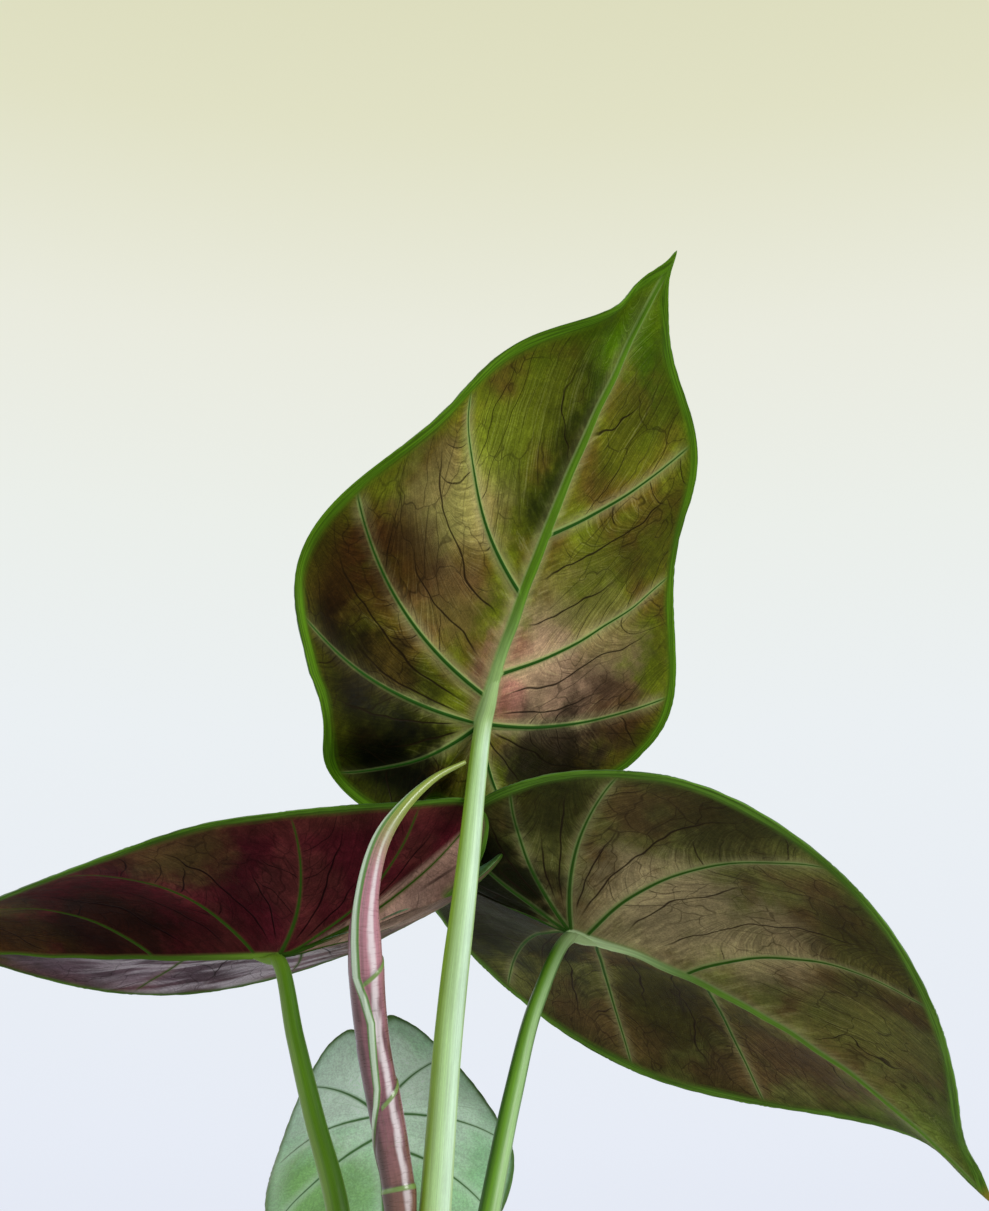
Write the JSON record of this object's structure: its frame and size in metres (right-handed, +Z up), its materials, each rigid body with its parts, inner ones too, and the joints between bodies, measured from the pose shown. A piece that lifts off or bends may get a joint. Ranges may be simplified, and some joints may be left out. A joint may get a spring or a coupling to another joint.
{
  "type": "potted green unicorn alocasia",
  "caption": "Potted alocasia with arrow-shaped wavy leaves on long stems, a rolled new leaf, and soil in a plain clay pot.",
  "frame": {"origin": "centre of the flat base of the pot, on the surface that the pot stands on", "axes": "+Z up; the picture looks along +Y from the -Y side, with +X to its right"},
  "size_m": [0.4938, 0.2683, 0.5785],
  "materials": {
    "pot": "matte",
    "soil": "matte",
    "corm": "matte",
    "stem_tall": "satin",
    "leaf_tall": "satin",
    "stem_left": "satin",
    "leaf_left": "satin",
    "stem_right": "satin",
    "leaf_right": "satin",
    "stem_back": "satin",
    "leaf_back": "satin",
    "leaf_rolled": "gloss"
  },
  "bodies": {
    "root": {"pot": "pot", "soil": "soil", "corm": "corm", "stem_tall": "stem_tall", "leaf_tall": "leaf_tall", "stem_left": "stem_left", "leaf_left": "leaf_left", "stem_right": "stem_right", "leaf_right": "leaf_right", "stem_back": "stem_back", "leaf_back": "leaf_back", "leaf_rolled": "leaf_rolled"}
  },
  "joints": []
}
